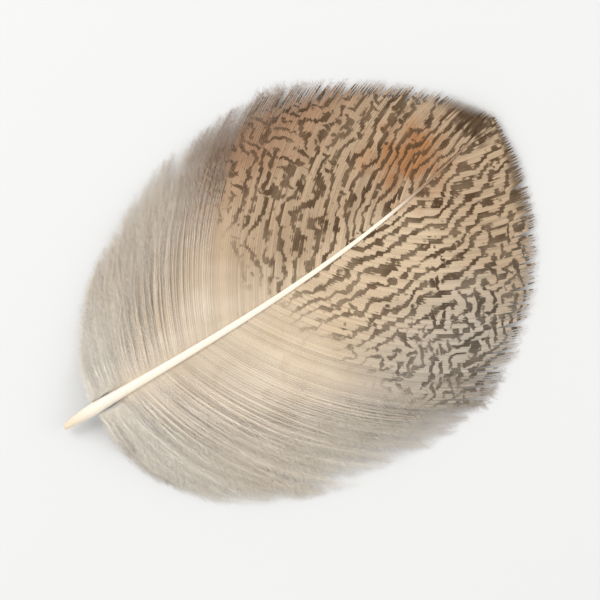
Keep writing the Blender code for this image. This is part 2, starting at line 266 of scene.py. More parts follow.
# %% Wires and nodes
class Wire:
    """What an output socket gives. Signs between wires and numbers become Math nodes, a wire first."""

    def __init__(self, socket):
        self.socket = socket
        self.tree = socket.id_data

    def maths(self, operation, other=0.0):
        return add(self.tree, "ShaderNodeMath", {0: self, 1: other}, operation=operation)[0]

    __add__ = partialmethod(maths, "ADD")
    __sub__ = partialmethod(maths, "SUBTRACT")
    __mul__ = partialmethod(maths, "MULTIPLY")
    __truediv__ = partialmethod(maths, "DIVIDE")
    __pow__ = partialmethod(maths, "POWER")
    __abs__ = partialmethod(maths, "ABSOLUTE")

    def remap(self, low, high, to_low=0.0, to_high=1.0, kind="SMOOTHSTEP"):
        """Takes the value from low..high to to_low..to_high, held and eased at both ends."""
        inputs = {0: self, 1: low, 2: high, 3: to_low, 4: to_high}
        return add(self.tree, "ShaderNodeMapRange", inputs, interpolation_type=kind)[0]

    def vector_maths(self, operation, other):
        """other is a vector, or a number where the operation is SCALE."""
        inputs = {0: self, "Scale" if operation == "SCALE" else 1: other}
        made = add(self.tree, "ShaderNodeVectorMath", inputs, operation=operation)
        return made["Value" if operation == "DISTANCE" else "Vector"]

    def parts(self):
        """The x, y and z of a vector."""
        made = add(self.tree, "ShaderNodeSeparateXYZ", {0: self})
        return made[0], made[1], made[2]


def fill(node, inputs):
    """Fills sockets by name or number. A list of wires goes into one socket in its order."""
    for key, value in inputs.items():
        for one in value if isinstance(value, list) else [value]:
            if isinstance(one, Wire):
                node.id_data.links.new(one.socket, node.inputs[key])
            else:
                node.inputs[key].default_value = one


def add(tree, kind, inputs=None, **options):
    """Adds a node and gives its outputs as wires, under their numbers and their names."""
    node = tree.nodes.new(kind)
    for name, value in options.items():
        setattr(node, name, value)
    fill(node, inputs or {})
    wires = [Wire(socket) for socket in node.outputs]
    return {**dict(enumerate(wires)), **{wire.socket.name: wire for wire in wires}}


# %% Helpers for geometry trees
def place(tree, x=0.0, y=0.0, z=0.0):
    return add(tree, "ShaderNodeCombineXYZ", {0: x, 1: y, 2: z})[0]


def moved(geometry, where, key="Offset"):
    return add(geometry.tree, "GeometryNodeSetPosition", {"Geometry": geometry, key: where})[0]


def circle(tree, corners, radius):
    return add(tree, "GeometryNodeCurvePrimitiveCircle", {"Resolution": corners, "Radius": radius})[0]


def sweep(line, section, scale):
    """Pulls a section along a line and closes both ends."""
    inputs = {"Curve": line, "Profile Curve": section, "Scale": scale, "Fill Caps": True}
    return add(line.tree, "GeometryNodeCurveToMesh", inputs)[0]


def attribute(tree, name, kind="FLOAT"):
    """A guide's attribute, read inside a geometry tree."""
    return add(tree, "GeometryNodeInputNamedAttribute", {"Name": name}, data_type=kind)[0]


def store(geometry, name, value, kind="FLOAT"):
    """Keeps a value on every point of a geometry."""
    inputs = {"Geometry": geometry, "Name": name, "Value": value}
    return add(geometry.tree, "GeometryNodeStoreNamedAttribute", inputs, data_type=kind, domain="POINT")[0]


def start_tree(name, *sizes, counts=()):
    """A geometry tree, and its inputs as wires: the guides, the named sizes and counts, and a material."""
    tree = bpy.data.node_groups.new(name, "GeometryNodeTree")
    kinds = {"Geometry": "Geometry", **dict.fromkeys(sizes, "Float"), **dict.fromkeys(counts, "Int")}
    for label, kind in {**kinds, "Material": "Material"}.items():
        tree.interface.new_socket(label, in_out="INPUT", socket_type=f"NodeSocket{kind}")
    tree.interface.new_socket("Geometry", in_out="OUTPUT", socket_type="NodeSocketGeometry")
    return tree, add(tree, "NodeGroupInput")


def end_tree(geometry, material, soft_edges=True):
    """The end of every tree: smooth shading, crisp where an edge isn't soft, real geometry, material."""
    tree = geometry.tree
    smooth = add(tree, "GeometryNodeSetShadeSmooth", {"Geometry": geometry})[0]
    edges = {"Geometry": smooth, "Shade Smooth": soft_edges}
    crisp = add(tree, "GeometryNodeSetShadeSmooth", edges, domain="EDGE")[0]
    real = add(tree, "GeometryNodeRealizeInstances", {"Geometry": crisp})[0]
    finished = add(tree, "GeometryNodeSetMaterial", {"Geometry": real, "Material": material})[0]
    add(tree, "NodeGroupOutput", {0: finished})
    print(f"{tree.name}: {len(tree.nodes)} nodes")


# %% Run a tree and keep its mesh
def show(name, data):
    shown = bpy.data.objects.new(name, data)
    bpy.context.scene.collection.objects.link(shown)
    return shown


def stand_for(piece):
    """Attaches a piece to the root body, hides the frame's node that it stands for, whose name is the
    piece's own without the last word, and prints its triangles.
    """
    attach(piece, "root")
    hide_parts(piece.name.rpartition("_")[0])
    corners = [len(face.vertices) for face in piece.data.polygons]
    print(f"{piece.name}: {sum(corners) - 2 * len(corners)} triangles")


def grow(name, tree, slot, points, facts, sizes, up=None, rows=slice(None)):
    """Dresses guides with a tree and keeps the result as a plain mesh. sizes has all inputs of the tree."""
    piece = show(name, guide_mesh(f"{name}_guides", points, facts, up, rows))
    modifier = piece.modifiers.new("Barbs", "NODES")
    modifier.node_group = tree
    for item in tree.interface.items_tree:
        if item.in_out == "INPUT" and item.name != "Geometry":
            modifier[item.identifier] = sizes[item.name]
    graph = bpy.context.evaluated_depsgraph_get()
    piece.data = bpy.data.meshes.new_from_object(piece.evaluated_get(graph), depsgraph=graph)
    piece.modifiers.remove(modifier)
    piece.data.name = name
    piece.data.materials.clear()
    piece.data.materials.append(sizes["Material"])
    piece.data.polygons.foreach_set("material_index", [0] * len(piece.data.polygons))
    stand_for(piece)


# %% [markdown]
# ## A firm barb
#
# A firm barb is a stiff ridge, the ramus, with a flat wing of hooked barbules on each side. The wings of
# neighbours overlap like roof tiles and close the vane. Half a million barbules could be modelled one by
# one. Here each barb is swept instead: one closed section follows the guide line. The section starts as
# a circle of eight points and is pressed flat, except for a ridge above and a keel below. It is tilted a
# little, so that each wing lies over its neighbour, and it shrinks with the width stored on the guide.
# Its points keep two facts for the material: how far across the barb they are, and above or below.

# %% Tree: the section of a winged barb
wing_tree, wing = start_tree("Winged barbs", "Wing span", "Wing thickness", "Ridge height", "Wing tilt")
ring_up, ring_across, _ = add(wing_tree, "GeometryNodeInputPosition")[0].parts()
out_share = abs(ring_across)
drawn_in = out_share**4.0 * ring_across.maths("SIGN")
half_thick = wing["Ridge height"] * (out_share * -1.0 + 1.0) ** 3.0 + wing["Wing thickness"]
half_span = wing["Wing span"] * 0.5
flattened = place(wing_tree, ring_up * half_thick + drawn_in * wing["Wing tilt"], drawn_in * half_span)
pressed = moved(circle(wing_tree, 8, 1.0), flattened, "Position")
section = store(pressed, "across", ring_across / half_span)
section = store(section, "above", ring_up.maths("SIGN"))

# %% Sweep the section along the guides
SOFT_BEND = math.radians(25)  # edges that bend more stay crisp
lines = add(wing_tree, "GeometryNodeMeshToCurve", {"Mesh": wing["Geometry"]})[0]
upright = {"Curve": lines, "Normal": attribute(wing_tree, "up", "FLOAT_VECTOR")}
turned = add(wing_tree, "GeometryNodeSetCurveNormal", upright, mode="FREE")[0]
swept = sweep(turned, section, attribute(wing_tree, "width"))
edge_bend = add(wing_tree, "GeometryNodeInputMeshEdgeAngle")["Unsigned Angle"]
end_tree(swept, wing["Material"], edge_bend.maths("LESS_THAN", SOFT_BEND))

# %% [markdown]
# ## A downy barb
#
# Low on the shaft the barbs are limp, and their barbules stand off as hair-thin threads. That is what
# makes down soft to look at: there is no surface, only threads. The tree sweeps a thin thread along each
# guide and stands barbules on it. Points are spread along the guide, doubled so that both sides are
# covered, slipped and turned by chance, and each is given one of three barbules: two are straight and
# one is curved, and all run out to a point and lean towards the barb's tip. A noise then ruffles
# everything, because no two barbules of real down are alike.

# %% Tree: three kinds of barbule
DOWN_SIZES = ("Barbule spacing", "Barbule length", "Barbule thickness", "Thread thickness")
DOWN_PLACING = ("Roll", "Ruffle", "Lowest", "Highest")
DOWN_COUNTS = ("Barbule bends", "Seed")
down_tree, down = start_tree("Downy barbs", *DOWN_SIZES, *DOWN_PLACING, counts=DOWN_COUNTS)
BARBULES = (  # how far each kind leans, how far it curls, in how many pieces
    (0.65, 0.0, 1),
    (0.90, 0.60, down["Barbule bends"]),
    (1.15, 0.0, 1),
)


def one_barbule(lean, curl, bends):
    """A pointed barbule that grows along +X and leans towards +Z, the way its barb runs."""

    def reach(share, angle):
        length = down["Barbule length"]
        return place(down_tree, length * (share * math.cos(angle)), z=length * (share * math.sin(angle)))

    handle = reach(0.55, lean - curl)
    places = {"Start": (0, 0, 0), "Start Handle": handle, "End Handle": handle, "End": reach(1.0, lean)}
    places["Resolution"] = bends
    arc = add(down_tree, "GeometryNodeCurvePrimitiveBezierSegment", places)[0]
    along = add(down_tree, "GeometryNodeSplineParameter")["Factor"]
    swept = sweep(arc, circle(down_tree, 3, down["Barbule thickness"] * 0.5), along**2.0 * -1.0 + 1.0)
    return add(down_tree, "GeometryNodeMergeByDistance", {"Geometry": swept, "Distance": 0.0001 * MM})[0]


made_barbules = [one_barbule(*kind) for kind in BARBULES]
barbule_kinds = add(down_tree, "GeometryNodeGeometryToInstance", {0: made_barbules})[0]
print(f"{len(made_barbules)} kinds of barbule")

# %% Places for the barbules along the guides
guide_lines = add(down_tree, "GeometryNodeMeshToCurve", {"Mesh": down["Geometry"]})[0]
level_lines = add(down_tree, "GeometryNodeSetCurveNormal", {"Curve": guide_lines}, mode="Z_UP")[0]
spaced = {"Curve": level_lines, "Length": down["Barbule spacing"]}
stands = add(down_tree, "GeometryNodeCurveToPoints", spaced, mode="LENGTH")
facing_points = store(stands["Points"], "facing", stands["Rotation"], "QUATERNION")
doubled = {"Geometry": facing_points, "Amount": 2}
pairs = add(down_tree, "GeometryNodeDuplicateElements", doubled, domain="POINT")
point_number = add(down_tree, "GeometryNodeInputIndex")[0]


def by_chance(low, high, draw):
    """A random number for each barbule. Each draw is another row of numbers from the tree's seed."""
    inputs = {2: low, 3: high, "ID": point_number, "Seed": down["Seed"] + draw}
    return add(down_tree, "FunctionNodeRandomValue", inputs, data_type="FLOAT")[1]


# %% Stand the barbules there
LEAST_FLUFF = 0.12  # barbules under this share of their full size are left out
facing = attribute(down_tree, "facing", "QUATERNION")
slip = place(down_tree, z=by_chance(-0.5, 0.5, 4) * down["Barbule spacing"])
uneven = moved(pairs[0], add(down_tree, "FunctionNodeRotateVector", {0: slip, 1: facing})[0])
roll_angle = by_chance(-1.0, 1.0, 1) * down["Roll"] + pairs["Duplicate Index"] * math.pi
angles = place(down_tree, y=by_chance(-0.30, 0.30, 2), z=roll_angle)
turns = {0: facing, 1: add(down_tree, "FunctionNodeEulerToRotation", {0: angles})[0]}
fluff = attribute(down_tree, "fluff")
is_fluffy = add(down_tree, "FunctionNodeCompare", {0: fluff, 1: LEAST_FLUFF}, operation="GREATER_THAN")[0]
which = {4: 0, 5: len(BARBULES) - 1, "ID": point_number, "Seed": down["Seed"]}
standing = {
    "Points": uneven,
    "Selection": is_fluffy,
    "Instance": barbule_kinds,
    "Pick Instance": True,
    "Instance Index": add(down_tree, "FunctionNodeRandomValue", which, data_type="INT")[2],
    "Rotation": add(down_tree, "FunctionNodeRotateRotation", turns, rotation_space="LOCAL")[0],
    "Scale": fluff * by_chance(0.55, 1.25, 3),
}
stood = add(down_tree, "GeometryNodeInstanceOnPoints", standing)[0]
barbules = add(down_tree, "GeometryNodeRealizeInstances", {"Geometry": stood})[0]

# %% Add the threads, ruffle all, and keep it off the table
GUST_SIZE = 1.5 * MM
thread_share = add(down_tree, "GeometryNodeSplineParameter")["Factor"]
thread_taper = (attribute(down_tree, "along") * -0.75 + 1.0) * thread_share.remap(0.0, 0.15, 0.25, 1.0)
threads = sweep(level_lines, circle(down_tree, 4, down["Thread thickness"] * 0.5), thread_taper)
all_down = add(down_tree, "GeometryNodeJoinGeometry", {0: [barbules, threads]})[0]
here = add(down_tree, "GeometryNodeInputPosition")[0]
gust = add(down_tree, "ShaderNodeTexNoise", {"Vector": here, "Scale": 1 / GUST_SIZE, "Detail": 1.0})["Color"]
push = gust.vector_maths("SUBTRACT", (0.5, 0.5, 0.5)).vector_maths("SCALE", down["Ruffle"])
here_x, here_y, here_z = here.parts()
held_z = here_z.maths("MAXIMUM", down["Lowest"]).maths("MINIMUM", down["Highest"])
kept_in = moved(moved(all_down, push), place(down_tree, here_x, here_y, held_z), "Position")
end_tree(kept_in, down["Material"])

# %% [markdown]
# ## Colour rules for the plumage
#
# The colours are read off the photograph. The lower half is plain: warm cream with faint mottles,
# a little darker on the left and greyer at the right rim. The upper half is buff and freckled with dark
# brown, greyer on the right and fawn on the left, with a browner left rim. The grey on the right, at the
# rim and in the freckles, is painted shade of the side that curves down and away. The upper half has a
# rufous patch near the tip, and a dark spot at the tip itself. The rules work on places in millimetres,
# so the firm barbs and the loose down beside them take the same colour where they meet.


# %% Helpers for materials
BUMP_DEPTH = 0.02 * MM


def linear(red, green, blue):
    """A screen colour, 0 to 255, as the linear values that a shader works with."""
    shares = [channel / 255 for channel in (red, green, blue)]
    return (*[c / 12.92 if c <= 0.04045 else ((c + 0.055) / 1.055) ** 2.4 for c in shares], 1.0)


def layered(colour, *layers):
    """Lays colours over a first one. Each layer has the amount of its colour and the colour."""
    for amount, laid in layers:
        colour = add(amount.tree, "ShaderNodeMix", {0: amount, 6: colour, 7: laid}, data_type="RGBA")[2]
    return colour


def start_material(name, finish):
    """A material and its node tree. finish is what its shader has all over."""
    made = bpy.data.materials.new(name)
    made.use_nodes = True
    fill(made.node_tree.nodes["Principled BSDF"], finish)
    return made, made.node_tree


def end_material(made, inputs):
    """Links to the shader what differs from place to place."""
    fill(made.node_tree.nodes["Principled BSDF"], inputs)
    print(f"{made.name}: {len(made.node_tree.nodes)} nodes")


def place_in_mm(tree):
    """The point's place as a vector in millimetres, and its x and y."""
    spot = add(tree, "ShaderNodeTexCoord")["Object"].vector_maths("SCALE", 1 / MM)
    return (spot, *spot.parts()[:2])


def told(tree, name):
    """An attribute that came from the guides."""
    return add(tree, "ShaderNodeAttribute", attribute_name=name)["Fac"]


def noise(spot, scale, swing, detail=2.0):
    """Noise about zero, mostly within half of swing on either side."""
    cloud = add(spot.tree, "ShaderNodeTexNoise", {"Vector": spot, "Scale": scale, "Detail": detail})[0]
    return cloud * (2 * swing) - swing


def bumpy(height, strength):
    """A normal that is bumpy by a height, without any change of the shape."""
    inputs = {"Strength": strength, "Distance": BUMP_DEPTH, "Height": height}
    return add(height.tree, "ShaderNodeBump", inputs)[0]


# %% Ground colour of every place
CREAM = linear(247, 231, 208)
TAN = linear(216, 194, 166)
# STONE and PALE_GREY are the greyer tones of painted shade on the right side.
STONE = linear(239, 226, 207)
BUFF = linear(228, 203, 170)
PALE_GREY = linear(204, 190, 172)
FAWN = linear(198, 170, 138)
RUFOUS = linear(182, 118, 60)
RIM_BROWN = linear(160, 107, 71)
PATCH_MIDDLE = (16.6, 4.8)
TIP_SPOT_MIDDLE = (24.2, 4.3)


def blot(spot, middle, outer, inner, swing, shift=0.0):
    """1 within the inner radius of a place in plan, fading unevenly to 0 at the outer one."""
    way = spot.vector_maths("MULTIPLY", (1.0, 1.0, 0.0)).vector_maths("DISTANCE", (*middle, 0.0))
    return (way + shift + noise(spot, 0.45, swing)).remap(outer, inner)


def right_side_shade(y):
    """Painted shade of the right side, where it curves down and away: 0 up to the shaft and 1 from far right
    of it on.
    """
    return y.remap(-3.0, -13.0)


def ground_colour(spot, x, y):
    to_left = (y + noise(spot, 0.25, 3.0)).remap(2.0, 9.0)
    by_shaft = abs(y - 0.5).remap(6.0, 1.0, 0.0, 0.45) * x.remap(-19.0, -11.0, 0.2, 1.0)
    darker = to_left.maths("MAXIMUM", by_shaft)
    # The right rim of the down is greyer with painted shade, where it curves down and away.
    right_rim_shade = (y + noise(spot, 0.2, 4.0)).remap(-8.0, -16.0) * x.remap(-16.0, -4.0)
    mottled = noise(spot, 0.40, 1.0, 3.0).remap(0.02, 0.30, 0.0, 0.40)
    low = layered(CREAM, (darker, TAN), (right_rim_shade, STONE), (mottled, TAN))
    left_half = (y + noise(spot, 0.3, 1.5)).remap(0.5, 4.5)
    by_tip = (x + noise(spot, 0.4, 2.5)).remap(12.0, 19.0, 0.0, 0.8)
    left_rim = (y + noise(spot, 0.3, 3.0)).remap(9.5, 15.0) * 0.56
    patch = blot(spot, PATCH_MIDDLE, 5.6, 0.6, 4.5) * 0.80
    # Pale grey on the right is painted shade, where the vane curves down and away.
    high = layered(BUFF, (right_side_shade(y), PALE_GREY), (left_half.maths("MAXIMUM", by_tip), FAWN))
    high = layered(high, (left_rim, RIM_BROWN), (patch, RUFOUS))
    upper_half = (x + noise(spot, 0.25, 4.0)).remap(-10.0, 3.0)
    return layered(low, (upper_half, high))


# %% [markdown]
# ## Freckles of the upper vane
#
# A partridge's upper vane carries fine broken lines of dark brown, as if drawn with a shaking pen. They
# come from three sine waves whose phase is shaken by noise: along the shaft on the right, along the barbs
# on the left, and across both. A second noise chooses which wave is drawn where, so the lines break off
# and start again at another angle. Each barb shifts its phase a little by its own random number, because
# pigment is laid down barb by barb.


# %% Where the freckles begin
def freckled_share(spot, x, away):
    """0 in the plain lower half and 1 in the freckled upper half, with a cloudy border between."""
    outward = away.maths("MAXIMUM", 0.0) * -0.04 + x
    outward = away.maths("MINIMUM", 0.0) * 0.32 + outward
    return (outward + noise(spot, 0.45, 3.0, 3.0)).remap(-6.0, 2.5)


# %% Lines of the freckles
DARK_BROWN = linear(90, 64, 34)
# DARK_GREY is the freckles' tone under the painted shade of the right side.
DARK_GREY = linear(88, 76, 60)
SPOT_BROWN = linear(76, 48, 16)
LINE_GAP = 1.25  # mm between the lines
LINES_ACROSS_FAN = 44.0

silk = {"Roughness": 0.6, "Specular IOR Level": 0.3, "Sheen Weight": 0.08, "Sheen Roughness": 0.4}
plumage, tree = start_material("freckled_plumage", silk)
spot, x, y = place_in_mm(tree)
away = told(tree, "away")
fan = told(tree, "fan")
own = told(tree, "chance") * 0.18 - 0.09
fade_in = freckled_share(spot, x, away)


def shaky_line(phase, seed_shift):
    """1 on the lines of a shaken wave and 0 between them. The lines thin out where the fade begins."""
    drifted = spot.vector_maths("ADD", (seed_shift, 0, 0))
    shake = noise(drifted, 0.20, 1.7, 1.0) + noise(drifted, 0.85, 0.55, 1.0)
    wave = ((phase + own + shake) * math.tau).maths("SINE")
    uneven = wave + noise(drifted, 1.5, 1.15, 2.0)
    return (uneven + (fade_in * 0.75 - 0.75)).remap(-0.02, 0.62)


is_left = away.maths("GREATER_THAN", 0.0)
with_shaft = (x * 0.16 + away) / LINE_GAP
both_ways = {0: is_left, 2: with_shaft, 3: fan * LINES_ACROSS_FAN}
phase_along = add(tree, "ShaderNodeMix", both_ways)[0]
phase_across = (y * y * 0.022 + x) / LINE_GAP
choice = noise(spot, 0.75, 1.0, 1.0) + abs(away).remap(4.0, 13.0, 0.35, 0.0)
lines_along = shaky_line(phase_along, 0.0) * choice.remap(-0.12, 0.02)
lines_across = shaky_line(phase_across, 30.0) * choice.remap(0.06, -0.06)

# %% Lay the pigment on the ground colour
strength = noise(spot, 0.5, 1.0, 1.0).remap(-0.5, 0.5, 0.74, 1.0)
from_tip = (is_left * 5.0 + x).remap(-5.0, 12.0, 0.60, 1.0)
drawn = lines_along.maths("MAXIMUM", lines_across) * strength * from_tip
inked = drawn * fade_in.remap(0.05, 0.8)
tip_edge = told(tree, "along").remap(0.84, 0.92) * x.remap(21.5, 24.0)
ink = inked.maths("MAXIMUM", tip_edge * 0.70)
# The freckles turn dark grey on the right under the same painted shade.
pigment = layered(DARK_BROWN, (right_side_shade(y), DARK_GREY))
dark_tip = blot(spot, TIP_SPOT_MIDDLE, 2.2, 1.1, 1.8, own * 8.0) * 0.88
freckled = layered(ground_colour(spot, x, y), (ink, pigment), (dark_tip, SPOT_BROWN))
silky = fan.remap(0.32, 0.44) * fan.remap(0.64, 0.54)
own_tone = told(tree, "chance").remap(0.0, 1.0, 0.69, 0.82, "LINEAR") * silky.remap(0.0, 1.0, 1.0, 0.94)
toned = freckled.vector_maths("SCALE", own_tone)

# %% [markdown]
# Barbules can't be seen one by one from arm's length, but their herringbone catches the light. It goes
# into the material as fine slanted lines that follow each barb: the run along the barb, less the
# distance from its ridge, so that the lines point to the tip on both wings. The lines are a bump, and
# also painted light and shade in the colour: lighter along each row and darker between the rows.

# %% Herringbone of the barbules
BARBULE_GAP = 0.10  # mm between the barbules of a firm barb
BARBULE_SLANT = 0.22
from_ridge = abs(told(tree, "across"))
slanted = from_ridge * -BARBULE_SLANT + told(tree, "run")
row_height = (slanted * (math.tau / BARBULE_GAP)).maths("SINE") * from_ridge.remap(0.10, 0.35)
# Painted light and shade in the colour: lighter along each row of barbules, darker between the rows.
row_painted_shade = row_height * 0.05 + 0.98
finished = toned.vector_maths("SCALE", row_painted_shade + from_ridge.remap(0.45, 0.0, 0.0, 0.10))
end_material(plumage, {"Base Color": finished, "Normal": bumpy(row_height, 0.5)})

# %% [markdown]
# ## Down's material
#
# Down has hardly any pigment, so it is paler than the vane. It takes the same ground colour mixed with
# near white, most of all by the quill, and turns browner where the freckles begin. The near white is
# partly the down's own pale colour and partly painted light for the light that bounces about between
# its threads, most of all by the quill. On the underside, where down is seen right beside the vane, it
# keeps the vane's own tone.

# %% Down's material
NEAR_WHITE = linear(255, 249, 238)
DUSKY_BROWN = linear(128, 98, 70)
fleece = {"Roughness": 0.75, "Specular IOR Level": 0.3, "Sheen Weight": 0.3, "Sheen Roughness": 0.35}
fleece["Sheen Tint"] = linear(255, 240, 220)
down_finish, tree = start_material("soft_down", fleece)
spot, x, y = place_in_mm(tree)
beneath = told(tree, "above").remap(0.0, -0.4)
by_vane = told(tree, "fan").remap(0.40, 0.57) * beneath
by_freckles = freckled_share(spot, x, told(tree, "away"))
pigmented = by_vane.maths("MAXIMUM", by_freckles * 0.6)
# Near white: partly the down's own pale colour and partly painted light that lifts the shade between its
# threads, most of all by the quill.
pale_and_painted_light = pigmented.remap(0.0, 1.0, 1.0, 0.0) * x.remap(-12.0, -20.0, 0.60, 0.95)
tinted = layered(ground_colour(spot, x, y), (pale_and_painted_light, NEAR_WHITE), (by_freckles * 0.42, DUSKY_BROWN))
own_tone = told(tree, "chance").remap(0.0, 1.0, 0.90, 1.03, "LINEAR") * by_vane.remap(0.0, 1.0, 1.0, 0.80)
end_material(down_finish, {"Base Color": tinted.vector_maths("SCALE", own_tone)})

# %% [markdown]
# ## The shaft
#
# The shaft is one piece of keratin: a hollow quill that becomes the solid rachis. Its section is round at
# the quill and squarer along the rachis, with a shallow groove below. A lathe could only turn a straight
# one, so rings of points are set along the shaft's line and joined. The quill is cut off at its end, and
# rings that turn back inside give it an open mouth with a wall.

# %% Shaft material
IVORY = linear(233, 223, 206)
RACHIS_TIP_BROWN = linear(140, 108, 77)
QUILL_HORN = linear(222, 206, 180)
GRAIN_HORN = linear(212, 192, 160)
polish = {"Roughness": 0.32, "Coat Weight": 0.2, "Coat Roughness": 0.25}
glow = {"Subsurface Weight": 0.15, "Subsurface Scale": 0.4 * MM}
keratin, tree = start_material("ivory_keratin", {**polish, **glow})
spot, x, y = place_in_mm(tree)
horn = layered(IVORY, (x.remap(10.5, 17.0), RACHIS_TIP_BROWN), (x.remap(-22.5, -26.0), QUILL_HORN))
grain = noise(spot.vector_maths("MULTIPLY", (0.35, 6.0, 6.0)), 1.0, 1.0, 3.0)
grained = layered(horn, (grain.remap(0.0, 0.6, 0.0, 0.35), GRAIN_HORN))
end_material(keratin, {"Base Color": grained, "Normal": bumpy(grain, 0.25)})


# %% Rings of points into a closed tube
def joined_rings(name, rings):
    """Joins rings of equally many points into a shaft, in their order, and closes both ends."""
    builder = bmesh.new()
    made = [[builder.verts.new(point) for point in ring] for ring in rings]
    for first, second in zip(made, made[1:]):
        for k, corner in enumerate(first):
            after = (k + 1) % len(first)
            builder.faces.new((corner, first[after], second[after], second[k]))
    builder.faces.new(made[0])
    builder.faces.new(made[-1])
    bmesh.ops.recalc_face_normals(builder, faces=builder.faces)
    mesh = bpy.data.meshes.new(name)
    builder.to_mesh(mesh)
    builder.free()
    mesh.shade_smooth()
    mesh.materials.append(keratin)
    stand_for(show(name, mesh))


# %% Shaft mesh
SHAFT_SIDES = 24
SHAFT_RINGS = 120
RING_CROWDING = 1.15  # over 1 sets the rings closer at the quill
MOUTH_RINGS = 5
MOUTH_START = 0.0006  # share of the length
MOUTH_DEPTH = 1.1 * MM
WALL_SHARE = 0.55  # the mouth's radius, as a share of the quill's
ROUNDED_LIP = 0.88
POINT_START = 0.09  # how long the end of the rachis takes to thin out, as a share of the length
POINT_RADIUS = 0.18
around = np.linspace(0, math.tau, SHAFT_SIDES, endpoint=False)
shaft_end = SHAFT_LENGTH / LENGTH


def shaft_ring(share, scale=1.0):
    """The shaft's section at a share of the length: round at the quill, then squarer and grooved below."""
    ending = float(np.clip((shaft_end - share) / POINT_START, 0, 1)) ** 0.7
    radius = float(shaft_radius(share)) * scale * (POINT_RADIUS + (1 - POINT_RADIUS) * ending)
    rachis = float(smooth_step((share - 0.08) / 0.12))
    squarer = 1 - 0.07 * rachis * np.cos(4 * around)
    groove = 1 - 0.22 * rachis * np.exp(-(((around - 1.5 * math.pi) / 0.33) ** 2))
    centre = Vector((share * LENGTH + shift_x, float(bow_line(share)) + shift_y, float(shaft_height(share))))
    radii = radius * squarer * groove
    return [centre + Vector((0, r * math.cos(t), r * math.sin(t))) for r, t in zip(radii, around)]


turned_in = np.linspace(MOUTH_DEPTH / LENGTH, MOUTH_START, MOUTH_RINGS)
mouth = [shaft_ring(share, WALL_SHARE) for share in turned_in]
outside = [shaft_ring(share) for share in shaft_end * np.linspace(0, 1, SHAFT_RINGS) ** RING_CROWDING]
joined_rings("shaft_keratin", mouth + [shaft_ring(0.0, ROUNDED_LIP)] + outside)

# %% [markdown]
# ## The two vanes
#
# A real vane is never perfect. A few splits run in from the rim, and along the very edge the barbs stick
# together in small clumps. Both are small changes of the fan value that grow along the barb, so the barbs
# stay on the canopy and only lean apart. At the tip the last barbs run straight on and close over the
# shaft's end. The width on each guide is a little more than the gap to the next barb, which makes the
# wings overlap, and it falls away over the last fifth, where barbs end free.


# %% How barbs cling together and swing
def clinging(fan, rng, groups, most):
    """How far each barb's tip leans to the middle of its group, as a change of fan value."""
    middles = np.sort(rng.uniform(fan.min(), fan.max(), groups))
    grip = rng.uniform(0.0, most, groups)
    nearest = np.abs(fan - middles).argmin(axis=1)
    return ((middles[nearest] - fan[:, 0]) * grip[nearest])[:, None]


def swaying(fan, rng, share, most):
    """How a loose barb swings to and fro along its way, as a change of fan value."""
    swing, start = rng.uniform(3, most, fan.shape), rng.uniform(0, math.tau, fan.shape)
    return 0.022 * np.sin(share * swing + start)


def ramp(value, start, end=1.0):
    """0 up to the start, 1 from the end on, and straight between them."""
    return np.clip((value - start) / (end - start), 0, 1)


# %% Paths of the vane's barbs
VANE_START = 0.58
VANE_BARBS = 112
SPLITS = {  # fan value, where along the barb the split starts, how far it opens
    "left": ((0.674, 0.66, 0.0030), (0.800, 0.52, 0.0048), (0.898, 0.76, 0.0014)),
    "right": ((0.646, 0.74, 0.0026), (0.758, 0.56, 0.0042), (0.856, 0.78, 0.0012)),
}
SPLIT_SPREAD = 0.014  # how far in fan value a split pushes its neighbours
CLOSING = 0.89  # from this fan value on the barbs close over the shaft's end
CLOSING_SHIFT = 0.16 * MM  # and come this much nearer to its line
RIM_CLUMPS = 26
RIM_GRIP = 0.45  # how tightly a clump can hold, up to 1
FOLD_LIFT = 0.16 * MM  # how high the shallow folds rise at the rim
OWN_LIFT = 0.03 * MM  # how much a barb can add to that by chance
VANE_LOWEST = 0.06 * MM
VANE_SEEDS = {"left": 11, "right": 12}
vane_fan = np.linspace(VANE_START, 0.998, VANE_BARBS)[:, None]
near_down = 1 - smooth_step((vane_fan - VANE_START) / 0.13)


def vane_paths(side_name, share):
    """Points, up directions and facts of one vane's barbs. The same for every share that is asked for."""
    side = SIDES[side_name]
    rng = np.random.default_rng(VANE_SEEDS[side_name])
    fan = vane_fan
    lean = np.zeros(np.broadcast(fan, share).shape)
    for centre, begins, opens in SPLITS[side_name]:
        off = fan - centre
        lean += opens * np.sign(off) * np.exp(-np.abs(off) / SPLIT_SPREAD) * ramp(share, begins) ** 1.3
    evenly = 1 - 0.85 * smooth_step((fan - 0.84) / 0.08)  # towards the tip the rim is closed
    lean += clinging(fan, rng, RIM_CLUMPS, RIM_GRIP) * evenly * ramp(share, 0.70) ** 1.5
    lean += rng.normal(0, 0.0007, (VANE_BARBS, 1)) * share**1.5
    reach = 1 - np.abs(rng.normal(0, 0.014, (VANE_BARBS, 1)))
    chance = rng.uniform(0, 1, (VANE_BARBS, 1))
    closing = smooth_step((fan - CLOSING) / 0.105)
    x, y = barb_plan(np.clip(fan + lean, 0, 1), side, share * reach, BARB_BULGE * (1 - closing))
    y -= side * CLOSING_SHIFT * closing * ramp(share, 0.0, 0.2)
    normal = canopy_normal(x, y)
    fold = 0.5 + 0.5 * np.sin(95 * fan + 2.0 * np.sin(31 * fan) + 1.5 * share)
    lift = FOLD_LIFT * fold * share**1.2 + OWN_LIFT * chance
    points = np.stack([x, y, canopy_height(x, y)], axis=-1) + normal * lift[..., None]
    points[..., 2] = np.maximum(points[..., 2], VANE_LOWEST)
    return points, normal, {"along": share, "fan": fan, "chance": chance}


